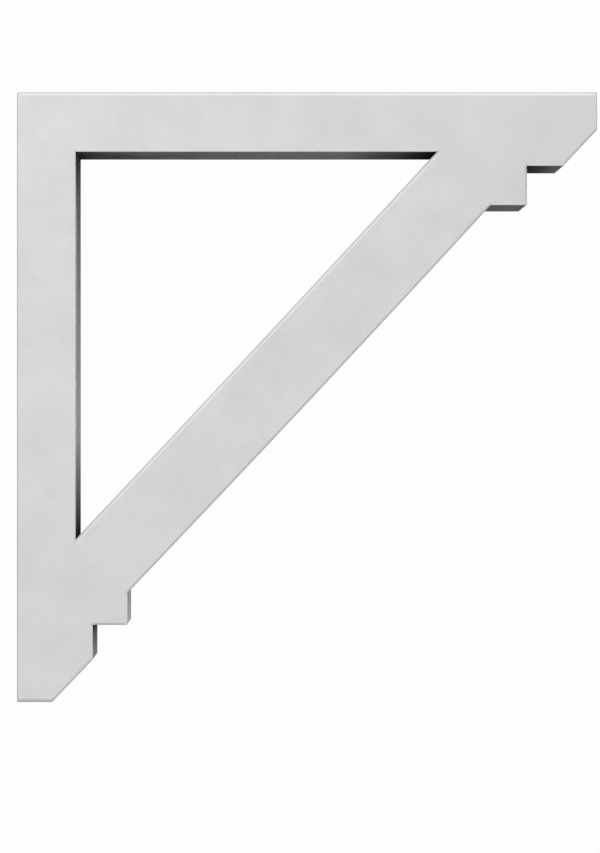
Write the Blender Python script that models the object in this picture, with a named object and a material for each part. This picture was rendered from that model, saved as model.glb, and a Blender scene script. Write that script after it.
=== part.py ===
"""A plain timber-style bracket, moulded in one piece from rigid urethane foam.

A post stands against the wall, a beam runs out along the top and a slanting brace joins their ends,
round a triangular opening. Beam and post both end in a chamfer and steps on the side of the brace.

Metres, +Z up. The wall face lies in the plane x = 0, with the origin at its centre. +X runs out from
the wall along the beam, and y = 0 is halfway through the thickness.
"""
import math

import bmesh
import bpy
from mathutils import Vector

# Overall size
HEIGHT = 0.9144
PROJECTION = 0.870
THICKNESS = 0.0889

# The triangular opening, with its right angle between post and beam
POST_WIDTH = 0.0882
BEAM_DEPTH = 0.0897
OPENING_WIDTH = 0.5410
OPENING_HEIGHT = 0.5803

# Free end of the beam, from the top outwards and down
NOSE_END = 0.0565
NOSE_CHAMFER_RUN = 0.0510
NOSE_CHAMFER_DROP = 0.0544
NOSE_FIRST_TREAD = 0.0543
NOSE_RISER = 0.0588
NOSE_SECOND_TREAD = 0.0545

# Free end of the post, from its foot upwards
FOOT_END = 0.0530
FOOT_CHAMFER_RUN = 0.0609
FOOT_CHAMFER_RISE = 0.0637
FOOT_FIRST_RISER = 0.0519
FOOT_TREAD = 0.0519
FOOT_SECOND_RISER = 0.0478

# The casting's brace is very slightly bowed, both its edges towards the outside
BRACE_LOWER_BOW = 0.0020
BRACE_UPPER_BOW = 0.0010
BOW_SEGMENTS = 8

# Rounding of every outer edge and corner
EDGE_RADIUS = 0.0020
EDGE_SEGMENTS = 3
ROUND_PROFILE = 0.5
SHARPEST_FLAT_ANGLE = math.radians(20)
COPLANAR_ANGLE = math.radians(0.01)

CUTTER_OVERRUN = 0.02

PRIMED_URETHANE = (0.63, 0.63, 0.628, 1.0)
PRIMED_ROUGHNESS = 0.55


def clear_scene():
    for thing in list(bpy.data.objects):
        bpy.data.objects.remove(thing, do_unlink=True)


def urethane_material():
    """Factory-primed urethane: a light neutral grey, matt."""
    material = bpy.data.materials.new("primed_urethane")
    material.use_nodes = True
    shader = material.node_tree.nodes["Principled BSDF"]
    shader.inputs["Base Color"].default_value = PRIMED_URETHANE
    shader.inputs["Roughness"].default_value = PRIMED_ROUGHNESS
    shader.inputs["Metallic"].default_value = 0.0
    return material


def walk(start, moves):
    """The corners met on a walk from start, each move a step along X and Z."""
    corners = [Vector(start)]
    for move in moves:
        corners.append(corners[-1] + Vector(move))
    return corners


def bowed(start, end, bow):
    """The inner points of a shallow arc from start to end that swells by bow to the left of travel."""
    along = end - start
    side = Vector((-along.y, along.x)).normalized()
    radius = along.length_squared / (8 * bow) + bow / 2
    half_angle = math.asin(along.length / 2 / radius)
    points = []
    for i in range(1, BOW_SEGMENTS):
        angle = half_angle * (2 * i / BOW_SEGMENTS - 1)
        run = radius * math.sin(angle) / along.length + 0.5
        swell = radius * math.cos(angle) - (radius - bow)
        points.append(start + along * run + side * swell)
    return points


def bracket_outline():
    """The outer corners in X and Z, from the wall's top corner out along the beam and back up the wall."""
    top = HEIGHT / 2
    nose = walk((PROJECTION, top), [
        (0, -NOSE_END),
        (-NOSE_CHAMFER_RUN, -NOSE_CHAMFER_DROP),
        (-NOSE_FIRST_TREAD, 0),
        (0, -NOSE_RISER),
        (-NOSE_SECOND_TREAD, 0),
    ])
    foot = walk((0, -top), [
        (FOOT_END, 0),
        (FOOT_CHAMFER_RUN, FOOT_CHAMFER_RISE),
        (0, FOOT_FIRST_RISER),
        (FOOT_TREAD, 0),
        (0, FOOT_SECOND_RISER),
    ])
    brace_edge = bowed(nose[-1], foot[-1], BRACE_LOWER_BOW)
    return [Vector((0, top)), *nose, *brace_edge, *reversed(foot)]


def opening_outline():
    """The opening's corners in X and Z, from the right angle along the beam and down the brace."""
    corner = Vector((POST_WIDTH, HEIGHT / 2 - BEAM_DEPTH))
    under_beam = corner + Vector((OPENING_WIDTH, 0))
    beside_post = corner - Vector((0, OPENING_HEIGHT))
    return [corner, under_beam, *bowed(under_beam, beside_post, BRACE_UPPER_BOW), beside_post]


def prism(name, outline, thickness):
    """A closed block with the given outline, centred on y = 0."""
    mesh = bpy.data.meshes.new(name)
    block = bmesh.new()
    front = [block.verts.new((p.x, -thickness / 2, p.y)) for p in outline]
    face = block.faces.new(front)
    swept = bmesh.ops.extrude_face_region(block, geom=[face])["geom"]
    moved = [item for item in swept if isinstance(item, bmesh.types.BMVert)]
    bmesh.ops.translate(block, verts=moved, vec=(0, thickness, 0))
    bmesh.ops.recalc_face_normals(block, faces=block.faces)
    block.to_mesh(mesh)
    block.free()
    thing = bpy.data.objects.new(name, mesh)
    bpy.context.scene.collection.objects.link(thing)
    return thing


def cut(thing, cutter):
    """Takes the cutter's shape out of the thing, for good."""
    cutter.hide_render = True
    cutter.display_type = "WIRE"
    boolean = thing.modifiers.new("opening", "BOOLEAN")
    boolean.operation = "DIFFERENCE"
    boolean.solver = "EXACT"
    boolean.object = cutter
    evaluated = thing.evaluated_get(bpy.context.evaluated_depsgraph_get())
    thing.data = bpy.data.meshes.new_from_object(evaluated)
    thing.modifiers.clear()


def round_outer_edges(thing):
    """Rounds each edge that stands out, and leaves the inner corners of the steps and opening crisp."""
    block = bmesh.new()
    block.from_mesh(thing.data)
    bmesh.ops.dissolve_limit(
        block, angle_limit=COPLANAR_ANGLE, verts=block.verts, edges=block.edges)
    outer = [
        edge for edge in block.edges
        if edge.is_convex and edge.calc_face_angle() > SHARPEST_FLAT_ANGLE
    ]
    bmesh.ops.bevel(
        block, geom=outer, offset=EDGE_RADIUS, offset_type="OFFSET", segments=EDGE_SEGMENTS,
        profile=ROUND_PROFILE, affect="EDGES", clamp_overlap=True)
    block.to_mesh(thing.data)
    block.free()


def bracket():
    thing = prism("bracket", bracket_outline(), THICKNESS)
    cut(thing, prism("opening_cutter", opening_outline(), THICKNESS + 2 * CUTTER_OVERRUN))
    round_outer_edges(thing)
    thing.data.shade_smooth()
    thing.data.set_sharp_from_angle(angle=SHARPEST_FLAT_ANGLE)
    thing.data.materials.clear()
    thing.data.materials.append(urethane_material())


clear_scene()
bracket()
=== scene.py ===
"""The looks of the urethane bracket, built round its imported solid.

The solid gives the outline. The piece made here stands for it: the same form with crisp or worn
arrises and the faint unevenness of a moulded face, in matt factory primer with a fine stipple.
Lengths are in metres and +Z is up. The points of loops, corners and stations are in X and Z.
"""

import math

import bmesh
import bpy
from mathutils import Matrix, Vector, geometry, noise

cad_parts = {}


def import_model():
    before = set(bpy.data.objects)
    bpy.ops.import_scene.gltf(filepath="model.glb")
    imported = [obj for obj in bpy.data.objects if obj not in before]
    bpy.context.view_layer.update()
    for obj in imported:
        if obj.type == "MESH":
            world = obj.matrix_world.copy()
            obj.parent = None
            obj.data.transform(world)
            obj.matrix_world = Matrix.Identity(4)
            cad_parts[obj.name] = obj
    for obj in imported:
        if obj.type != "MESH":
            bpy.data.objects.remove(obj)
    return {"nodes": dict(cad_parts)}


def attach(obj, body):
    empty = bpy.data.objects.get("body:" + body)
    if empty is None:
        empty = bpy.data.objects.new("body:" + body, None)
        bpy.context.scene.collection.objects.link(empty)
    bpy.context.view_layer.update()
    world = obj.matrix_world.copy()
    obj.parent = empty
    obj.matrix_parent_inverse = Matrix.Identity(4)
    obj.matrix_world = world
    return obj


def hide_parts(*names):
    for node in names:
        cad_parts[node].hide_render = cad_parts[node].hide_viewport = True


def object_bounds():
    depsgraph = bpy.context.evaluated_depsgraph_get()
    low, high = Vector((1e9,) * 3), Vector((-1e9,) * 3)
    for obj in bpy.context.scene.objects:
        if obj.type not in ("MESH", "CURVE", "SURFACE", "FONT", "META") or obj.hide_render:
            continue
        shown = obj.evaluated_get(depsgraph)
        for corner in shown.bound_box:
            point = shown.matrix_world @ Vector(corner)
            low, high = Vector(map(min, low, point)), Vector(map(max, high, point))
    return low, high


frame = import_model()
cad_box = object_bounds()

# Reading the solid. Sides shorter than SHORTEST_SIDE belong to a rounded corner.
WELD = 1e-5
FLAT_ANGLE = math.radians(0.02)
SHORTEST_SIDE = 0.004

# The visible mesh. SUPPORT is the width of the narrow strips beside an arris, and GRID_MARGIN is the
# least distance from the grid's points to the flat face's edges, in steps. CRISP_ANGLE is both the
# turn from which an outward corner is rounded off and the turn from which an edge is shaded crisp.
MESH_STEP = 0.006
GRID_MARGIN = 0.55
SUPPORT = 0.0006
ROUNDING_STEPS = 6
CRISP_ANGLE = math.radians(35)
SAME_POINT = 1e-9
TRIANGLES_WITHIN_RIMS = 1

# Wear of the arrises between a broad face and its sides, from 0, crisp, to 1. A side slants where its
# way out has more than SLANT of both directions, and ends the foot within FOOT_REACH of the bottom.
# The wear also sets how dark the painted shade along an arris is.
TOP_WEAR = 1.0
SIDE_WEAR = 0.8
FOOT_WEAR = 1.0
STEP_WEAR = 0.6
CHAMFER_WEAR = 0.55
SLANT = 0.3
FOOT_REACH = 0.004

# Form of the arrises. A worn one starts with a slope on the broad face, and every one ends with a
# small radius. SLOPE_ROUNDING is the share of the width where the slope curves away from the face.
CRISP_WIDTH = 0.0010
WORN_WIDTH = 0.0055
WORN_SLOPE = math.radians(24)
SLOPE_ROUNDING = 0.25
ROUNDING_ROWS = 4
SLOPE_ROWS = 6
CORNER_RADIUS = 0.0007
CORNER_STEPS = 5

# Painted shade along a worn arris: its outer part is painted darker, standing for the shade where the
# rounded edge turns away from the light
ARRIS_SHADE_WIDTH = 0.0020
ARRIS_SHADE_FADE = 0.0008
ARRIS_SHADE_TONE = 0.63

# Unevenness of the moulded faces: depth and size of the swells, and where in the noise they are taken
SWELLS = [(0.00012, 0.16), (0.00006, 0.055)]
SWELL_SHIFT = Vector((7.3, 1.9, 4.1))

# Tone of the primer, with the range that most of a noise lies in
PRIMER_LIGHT = (0.645, 0.645, 0.643, 1.0)
PRIMER_DARK = (0.602, 0.602, 0.600, 1.0)
BLACK = (0.0, 0.0, 0.0, 1.0)
NOISE_LOW = 0.3
NOISE_HIGH = 0.7
NOISE_ROUGHNESS = 0.5
MOTTLE_SIZE = 0.07
MOTTLE_DETAIL = 2.0

# Painted shade in inner corners: the primer's colour is darkened where nearby faces hide the
# surroundings
CORNER_SHADE_REACH = 0.10
CORNER_SHADE_POWER = 1.7
CORNER_SHADE_SAMPLES = 16

# Shine and fine relief of the primer
PRIMER_ROUGHNESS = 0.56
ROUGHNESS_SPREAD = 0.05
ROUGHNESS_PATCH = 0.02
ROUGHNESS_DETAIL = 3.0
STIPPLE_SIZE = 0.0030
STIPPLE_DETAIL = 2.0
STIPPLE_DEPTH = 0.00012
GRAIN_SIZE = 0.0018
GRAIN_DETAIL = 1.0
GRAIN_DEPTH = 0.00016

# Camera, square on to the broad face and level with the picture's middle. Places in the picture are in
# pixels from its top left, and VANISHING_X is the one straight ahead of the camera. FACE_SCALE is in
# pixels per metre of the face, and SENSOR in millimetres.
PICTURE_HEIGHT = 853
SENSOR = 36.0
FACE_SCALE = 667.48
VANISHING_X = 258.5
CENTRE_X = 300.0
CENTRE_Y = 426.5
FACE_LEFT_X = 16.7
FACE_TOP_Y = 91.9
CAMERA_DISTANCE = 2.95

# Stage: its colour, the strength of its even light, and the floor's size and depth below the bracket
BACKDROP = (0.985, 0.985, 0.985, 1.0)
WHITE = (1.0, 1.0, 1.0, 1.0)
AMBIENT = 0.02
FLOOR_SIZE = 12.0
FLOOR_GAP = 0.35


def turn_right(way):
    """The direction to the right of travel, seen from the front with X to the right and Z up."""
    return Vector((way.y, -way.x))


def turned(way, angle):
    """The direction turned anticlockwise, seen from the front."""
    return Vector((
        way.x * math.cos(angle) - way.y * math.sin(angle),
        way.x * math.sin(angle) + way.y * math.cos(angle),
    ))


def through_edges(shell):
    """The edges that run straight through the solid's thickness, from one rounding to the other."""
    spans = {edge: abs(edge.verts[0].co.y - edge.verts[1].co.y) for edge in shell.edges}
    longest = max(spans.values())
    return {edge for edge, span in spans.items() if span > longest - WELD}, longest


def outline_loops(solid):
    """The solid's outline and its opening as loops of points in X and Z, and its edge radius."""
    shell = bmesh.new()
    shell.from_mesh(solid.data)
    bmesh.ops.remove_doubles(shell, verts=shell.verts, dist=WELD)
    bmesh.ops.dissolve_limit(shell, angle_limit=FLAT_ANGLE, verts=shell.verts, edges=shell.edges)
    waiting, longest = through_edges(shell)
    thickness = cad_box[1].y - cad_box[0].y
    loops = []
    while waiting:
        edge = min(waiting, key=lambda e: e.verts[0].co.x + e.verts[0].co.z)
        loop = []
        while edge is not None:
            waiting.discard(edge)
            loop.append(Vector((edge.verts[0].co.x, edge.verts[0].co.z)))
            beside = [e for face in edge.link_faces for e in face.edges if e in waiting]
            edge = beside[0] if beside else None
        loops.append(loop)
    shell.free()
    return loops, (thickness - longest) / 2


def signed_area(loop):
    """The area inside a loop, positive where the loop runs anticlockwise seen from the front."""
    return sum(p.x * q.y - q.x * p.y for p, q in zip(loop, loop[1:] + loop[:1])) / 2


def meet(a, b, c, d):
    """Where the line through a and b meets the line through c and d."""
    first, second = b - a, d - c
    return a + first * ((c - a).cross(second) / first.cross(second))


def sharp_corners(loop):
    """The loop with each rounded corner put back to the point where its two sides would meet."""
    sides = [
        (p, q) for p, q in zip(loop, loop[1:] + loop[:1]) if (q - p).length > SHORTEST_SIDE
    ]
    return [
        b if b == c else meet(a, b, c, d)
        for (a, b), (c, d) in zip(sides[-1:] + sides[:-1], sides)
    ]


def travel(corners):
    """For each corner, the directions of the side that ends there and the side that starts there."""
    ways = [(q - p).normalized() for p, q in zip(corners, corners[1:] + corners[:1])]
    return list(zip(ways[-1:] + ways[:-1], ways))


def mitre(before, after):
    """The move that shifts a corner by one unit square to both its sides, to the right of travel."""
    right_before, right_after = turn_right(before), turn_right(after)
    return (right_before + right_after) / (1 + right_before.dot(right_after))


def inset(corners, depth):
    """The corners moved into the material, which lies to the left of travel."""
    return [c - mitre(*ways) * depth for c, ways in zip(corners, travel(corners))]


def wear_of(point, outwards, opening_middle):
    """How worn a side's arrises are, from a point on it and its way out.

    Sides that don't slant and look back to the opening's middle are crisp.
    """
    slanting = min(abs(outwards.x), abs(outwards.y)) > SLANT
    if not slanting and (opening_middle - point).dot(outwards) > 0:
        return 0.0
    if outwards.y > SLANT:
        return TOP_WEAR
    if slanting:
        return CHAMFER_WEAR
    if outwards.y > -SLANT:
        return SIDE_WEAR
    return FOOT_WEAR if point.y < cad_box[0].z + FOOT_REACH else STEP_WEAR


def stations(core, opening_middle):
    """Points all round a loop, each with the way out to the side, the way in and the wear."""
    made = []
    wears = [wear_of(p, turn_right(after), opening_middle) for p, (_, after) in zip(core, travel(core))]
    for i, (here, (before, after)) in enumerate(zip(core, travel(core))):
        there = core[(i + 1) % len(core)]
        inwards = mitre(before, after)
        corner_wear = (wears[i - 1] + wears[i]) / 2
        if before.cross(after) > math.sin(CRISP_ANGLE):
            turn = before.angle(after)
            start = turn_right(before)
            for k in range(ROUNDING_STEPS + 1):
                outwards = turned(start, turn * k / ROUNDING_STEPS)
                made.append((here, outwards, inwards, corner_wear))
        else:
            made.append((here, inwards, inwards, corner_wear))
        out = turn_right(after)
        count = max(1, round((there - here).length / MESH_STEP))
        made += [(here.lerp(there, k / count), out, out, wears[i]) for k in range(1, count)]
    return made


def arris(wear):
    """Steps from the broad face to the side: how far in from the outline, and how deep."""
    width = CRISP_WIDTH + (WORN_WIDTH - CRISP_WIDTH) * wear
    slope = WORN_SLOPE * wear
    rounding = width * SLOPE_ROUNDING
    steps = []
    for k in range(ROUNDING_ROWS + 1):
        run = rounding * k / ROUNDING_ROWS
        steps.append((width - run, math.tan(slope) * run * run / (2 * rounding)))
    start, depth = steps[-1]
    end = CORNER_RADIUS * (1 - math.sin(slope))
    fall = (start - end) * math.tan(slope)
    for k in range(1, SLOPE_ROWS):
        share = k / SLOPE_ROWS
        steps.append((start + (end - start) * share, depth + fall * share))
    for k in range(CORNER_STEPS + 1):
        angle = slope + (math.radians(90) - slope) * k / CORNER_STEPS
        steps.append((
            CORNER_RADIUS * (1 - math.sin(angle)),
            depth + fall + CORNER_RADIUS * (math.cos(slope) - math.cos(angle)),
        ))
    return steps


def profile(thickness, radius, wear):
    """Steps across the edge from the front face to the back: how far out, and where in Y."""
    front = [(radius - WORN_WIDTH - SUPPORT, 0.0)]
    front += [(radius - along, depth) for along, depth in arris(wear)]
    front.append((radius, front[-1][1] + SUPPORT))
    flat = thickness - 2 * front[-1][1]
    count = round(thickness / MESH_STEP)
    side = [(radius, front[-1][1] + flat * k / count) for k in range(1, count)]
    back = [(out, thickness - depth) for out, depth in reversed(front)]
    return [(out, depth - thickness / 2) for out, depth in front + side + back]


def painted_arris_shade(out, y, thickness, radius):
    """How much painted shade a worn arris gets: 1 along it, and 0 a little way from it on both faces."""
    from_arris = math.hypot(radius - out, thickness / 2 - abs(y))
    return min(1.0, max(0.0, (ARRIS_SHADE_WIDTH + ARRIS_SHADE_FADE - from_arris) / ARRIS_SHADE_FADE))


def band(mesh, core, opening_middle, thickness, radius):
    """The arrises and the side faces round one loop. Returns its first and last rows of points."""
    arris_shade = mesh.verts.layers.float["painted_arris_shade"]
    places = stations(core, opening_middle)
    rows = []
    for level in zip(*[profile(thickness, radius, wear) for *_, wear in places]):
        row = []
        for (point, outwards, inwards, wear), (out, y) in zip(places, level):
            place = point + (outwards if out > 0 else inwards) * out
            vert = mesh.verts.new((place.x, y, place.y))
            # Painted shade: the point's share of the darker band along a worn arris
            vert[arris_shade] = wear * painted_arris_shade(out, y, thickness, radius)
            row.append(vert)
        rows.append(row)
    for row, following in zip(rows, rows[1:]):
        for i in range(len(places)):
            mesh.faces.new((row[i - 1], row[i], following[i], following[i - 1]))
    return rows[0], rows[-1]


def inside(point, loop):
    """Whether a point lies inside a loop, from how often a line to its right crosses it."""
    crossings = 0
    for p, q in zip(loop, loop[1:] + loop[:1]):
        if (p.y > point.y) != (q.y > point.y):
            crossings += point.x < p.x + (point.y - p.y) * (q.x - p.x) / (q.y - p.y)
    return crossings % 2 == 1


def distance_to(point, loop):
    """How far a point is from the nearest side of a loop."""
    nearest = math.inf
    for p, q in zip(loop, loop[1:] + loop[:1]):
        share = min(1.0, max(0.0, geometry.intersect_point_line(point, p, q)[1]))
        nearest = min(nearest, (p.lerp(q, share) - point).length)
    return nearest


def grid_points(flats):
    """Points on a square grid over the flat face, none close to its edges."""
    outer, opening = flats
    low = Vector((min(p.x for p in outer), min(p.y for p in outer)))
    high = Vector((max(p.x for p in outer), max(p.y for p in outer)))
    kept = []
    for i in range(1, int((high.x - low.x) / MESH_STEP) + 1):
        for k in range(1, int((high.y - low.y) / MESH_STEP) + 1):
            point = low + Vector((i, k)) * MESH_STEP
            if not inside(point, outer) or inside(point, opening):
                continue
            if min(distance_to(point, flat) for flat in flats) > MESH_STEP * GRID_MARGIN:
                kept.append(point)
    return kept


def flat_face(mesh, rims, spots, y):
    """Fills the flat face between its outer rim and its inner one with small triangles."""
    points, edges = [], []
    for rim in rims:
        ring = [p for p, before in zip(rim, rim[-1:] + rim[:-1]) if (p - before).length > SAME_POINT]
        start = len(points)
        points += ring
        edges += [(start + i, start + (i + 1) % len(ring)) for i in range(len(ring))]
    places, _, triangles, *_ = geometry.delaunay_2d_cdt(
        points + spots, edges, [], TRIANGLES_WITHIN_RIMS, WELD)
    verts = [mesh.verts.new((p.x, y, p.y)) for p in places]
    for triangle in triangles:
        middle = sum((places[i] for i in triangle), Vector((0, 0))) / 3
        if not inside(middle, rims[1]):
            mesh.faces.new([verts[i] for i in triangle])


def swell(place):
    """How far the moulded surface lies below its ideal one at this place."""
    return sum(
        depth * (1 + noise.noise(place / size + SWELL_SHIFT)) / 2
        for depth, size in SWELLS
    )


def bracket():
    """The visible bracket, made from the solid's outline and opening."""
    solid = frame["nodes"]["bracket"]
    loops, radius = outline_loops(solid)
    loops.sort(key=lambda loop: -abs(signed_area(loop)))
    outer, opening = [sharp_corners(loop) for loop in loops]
    if signed_area(outer) < 0:
        outer.reverse()
    if signed_area(opening) > 0:
        opening.reverse()
    cores = [inset(corners, radius) for corners in (outer, opening)]
    flats = [inset(corners, WORN_WIDTH + SUPPORT) for corners in (outer, opening)]
    thickness = cad_box[1].y - cad_box[0].y
    opening_middle = Vector((
        (min(p.x for p in opening) + max(p.x for p in opening)) / 2,
        (min(p.y for p in opening) + max(p.y for p in opening)) / 2,
    ))
    mesh = bmesh.new()
    mesh.verts.layers.float.new("painted_arris_shade")
    bands = [band(mesh, core, opening_middle, thickness, radius) for core in cores]
    spots = grid_points(flats)
    for end in (0, 1):
        rims = [[Vector((v.co.x, v.co.z)) for v in rows[end]] for rows in bands]
        flat_face(mesh, rims, spots, bands[0][end][0].co.y)
    bmesh.ops.remove_doubles(mesh, verts=mesh.verts, dist=WELD)
    bmesh.ops.recalc_face_normals(mesh, faces=mesh.faces)
    mesh.normal_update()
    for vert, place, way in [(v, v.co.copy(), v.normal.copy()) for v in mesh.verts]:
        vert.co = place - way * swell(place)
    data = bpy.data.meshes.new("bracket_moulding")
    mesh.to_mesh(data)
    mesh.free()
    data.shade_smooth()
    data.set_sharp_from_angle(angle=CRISP_ANGLE)
    data.materials.append(primer())
    thing = bpy.data.objects.new("bracket_moulding", data)
    bpy.context.scene.collection.objects.link(thing)
    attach(thing, "root")
    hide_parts("bracket")


class Nodes:
    """A node tree that is built by naming nodes and what feeds them."""

    def __init__(self, tree):
        self.tree = tree
        tree.nodes.clear()

    def add(self, kind, settings=None, **inputs):
        """Adds a node. An input goes by its name, with _ for each space, or by _ and its number."""
        node = self.tree.nodes.new(kind)
        for name, value in (settings or {}).items():
            setattr(node, name, value)
        for name, value in inputs.items():
            socket = node.inputs[int(name[1:]) if name[0] == "_" else name.replace("_", " ")]
            if isinstance(value, bpy.types.NodeSocket):
                self.tree.links.new(value, socket)
            else:
                socket.default_value = value
        return node


def primer():
    """Matt light grey primer over moulded urethane: faint clouds of tone, a fine stipple, and painted
    shade along worn arrises and in inner corners.
    """
    material = bpy.data.materials.new("primer")
    material.use_nodes = True
    nodes = Nodes(material.node_tree)
    place = nodes.add("ShaderNodeTexCoord").outputs["Object"]

    def cloud(size, detail):
        """Noise in the object's own space, with clouds of about this size."""
        return nodes.add(
            "ShaderNodeTexNoise", Vector=place, Scale=1 / size, Detail=detail, Roughness=NOISE_ROUGHNESS,
        ).outputs["Fac"]

    mottle = nodes.add(
        "ShaderNodeMapRange", Value=cloud(MOTTLE_SIZE, MOTTLE_DETAIL),
        From_Min=NOISE_LOW, From_Max=NOISE_HIGH, To_Min=0.0, To_Max=1.0)
    tone = nodes.add(
        "ShaderNodeMix", {"data_type": "RGBA"}, _0=mottle.outputs[0], _6=PRIMER_DARK, _7=PRIMER_LIGHT)
    # Painted shade along worn arrises: the tone is darkened where the mesh's points carry it
    arris_shade = nodes.add("ShaderNodeAttribute", {"attribute_name": "painted_arris_shade"})
    painted_arris_darkening = nodes.add(
        "ShaderNodeMapRange", Value=arris_shade.outputs["Fac"],
        From_Min=0.0, From_Max=1.0, To_Min=1.0, To_Max=ARRIS_SHADE_TONE)
    # Painted shade in inner corners: the colour darkens with how much of the surroundings nearby faces
    # hide
    corner_occlusion = nodes.add(
        "ShaderNodeAmbientOcclusion", {"samples": CORNER_SHADE_SAMPLES, "only_local": True},
        Distance=CORNER_SHADE_REACH)
    painted_corner_shade = nodes.add(
        "ShaderNodeMath", {"operation": "POWER"}, _0=corner_occlusion.outputs["AO"], _1=CORNER_SHADE_POWER)
    # Both painted shades, along the arrises and in the corners, together darken the primer's tone
    # towards black
    share = nodes.add(
        "ShaderNodeMath", {"operation": "MULTIPLY"}, _0=painted_corner_shade.outputs[0], _1=painted_arris_darkening.outputs[0])
    colour = nodes.add(
        "ShaderNodeMix", {"data_type": "RGBA"}, _0=share.outputs[0], _6=BLACK, _7=tone.outputs[2])
    roughness = nodes.add(
        "ShaderNodeMapRange", Value=cloud(ROUGHNESS_PATCH, ROUGHNESS_DETAIL),
        From_Min=NOISE_LOW, From_Max=NOISE_HIGH,
        To_Min=PRIMER_ROUGHNESS - ROUGHNESS_SPREAD, To_Max=PRIMER_ROUGHNESS + ROUGHNESS_SPREAD)
    stipple = nodes.add(
        "ShaderNodeBump", Strength=1.0, Distance=STIPPLE_DEPTH,
        Height=cloud(STIPPLE_SIZE, STIPPLE_DETAIL))
    grain = nodes.add(
        "ShaderNodeBump", Strength=1.0, Distance=GRAIN_DEPTH, Height=cloud(GRAIN_SIZE, GRAIN_DETAIL),
        Normal=stipple.outputs[0])
    shader = nodes.add(
        "ShaderNodeBsdfPrincipled", Base_Color=colour.outputs[2], Roughness=roughness.outputs[0],
        Normal=grain.outputs[0])
    nodes.add("ShaderNodeOutputMaterial", Surface=shader.outputs[0])
    return material


def backdrop_paint():
    """Plain white that is only seen: it throws no light and takes no shadow."""
    material = bpy.data.materials.new("backdrop")
    material.use_nodes = True
    nodes = Nodes(material.node_tree)
    glow = nodes.add("ShaderNodeEmission", Color=BACKDROP, Strength=1.0)
    nodes.add("ShaderNodeOutputMaterial", Surface=glow.outputs[0])
    return material


def floor():
    """A white floor below the bracket, which takes part in neither the light nor the shadows."""
    data = bpy.data.meshes.new("floor")
    half, z = FLOOR_SIZE / 2, cad_box[0].z - FLOOR_GAP
    corners = [(-half, -half, z), (half, -half, z), (half, half, z), (-half, half, z)]
    data.from_pydata(corners, [], [(0, 1, 2, 3)])
    data.materials.append(backdrop_paint())
    thing = bpy.data.objects.new("floor", data)
    bpy.context.scene.collection.objects.link(thing)
    thing.visible_diffuse = thing.visible_glossy = False
    thing.visible_shadow = False


def world():
    """White to the camera, and a weak even light to everything else."""
    studio = bpy.data.worlds.new("studio")
    studio.use_nodes = True
    bpy.context.scene.world = studio
    nodes = Nodes(studio.node_tree)
    seen = nodes.add("ShaderNodeBackground", Color=BACKDROP, Strength=1.0)
    ambient = nodes.add("ShaderNodeBackground", Color=WHITE, Strength=AMBIENT)
    mix = nodes.add(
        "ShaderNodeMixShader", _0=nodes.add("ShaderNodeLightPath").outputs["Is Camera Ray"],
        _1=ambient.outputs[0], _2=seen.outputs[0])
    nodes.add("ShaderNodeOutputWorld", Surface=mix.outputs[0])


def softbox(name, azimuth, elevation, distance, size, watts, mirrored=True):
    """A square soft light that looks at the bracket's middle. Azimuth 0 is in front, 90 to the right.

    Where it isn't mirrored, it lights the primer but never shows in its shine.
    """
    turn, rise = math.radians(azimuth), math.radians(elevation)
    away = Vector((
        math.sin(turn) * math.cos(rise),
        -math.cos(turn) * math.cos(rise),
        math.sin(rise),
    ))
    light = bpy.data.lights.new(name, "AREA")
    light.energy = watts
    light.size = size
    lamp = bpy.data.objects.new(name, light)
    lamp.location = (cad_box[0] + cad_box[1]) / 2 + away * distance
    lamp.rotation_euler = away.to_track_quat("Z", "Y").to_euler()
    lamp.visible_camera = False
    lamp.visible_glossy = mirrored
    bpy.context.scene.collection.objects.link(lamp)


def lights():
    """The two strongest lights come from the front, and the others set the tone of the sides."""
    softbox("key", azimuth=-10, elevation=6, distance=12.0, size=3.4, watts=655)
    softbox("left_front", azimuth=-35, elevation=25, distance=12.0, size=3.4, watts=825)
    softbox("left_high", azimuth=-85, elevation=50, distance=7.0, size=2.4, watts=160)
    softbox("right_front", azimuth=75, elevation=45, distance=7.0, size=2.4, watts=92)
    softbox("right_high", azimuth=88, elevation=52, distance=7.0, size=2.4, watts=286)
    softbox("right_middle", azimuth=88, elevation=38, distance=7.0, size=2.4, watts=103)
    softbox("right_low", azimuth=90, elevation=5, distance=7.0, size=2.4, watts=150)
    softbox("lower_left", azimuth=-85, elevation=-60, distance=3.5, size=1.2, watts=25)
    softbox("back", azimuth=200, elevation=5, distance=7.0, size=2.0, watts=320, mirrored=False)


def camera():
    """Looks along +Y, square to the face. Its distance, place and shift frame it like the photograph."""
    data = bpy.data.cameras.new("camera")
    data.sensor_width = SENSOR
    data.lens = FACE_SCALE * CAMERA_DISTANCE / PICTURE_HEIGHT * SENSOR
    data.shift_x = (CENTRE_X - VANISHING_X) / PICTURE_HEIGHT
    eye = bpy.data.objects.new("camera", data)
    low, high = cad_box
    eye.location = (
        low.x + (VANISHING_X - FACE_LEFT_X) / FACE_SCALE,
        low.y - CAMERA_DISTANCE,
        high.z - (CENTRE_Y - FACE_TOP_Y) / FACE_SCALE,
    )
    eye.rotation_euler = (math.radians(90), 0, 0)
    bpy.context.scene.collection.objects.link(eye)
    bpy.context.scene.camera = eye


bracket()
floor()
world()
lights()
camera()
bpy.context.scene.view_settings.view_transform = "Standard"
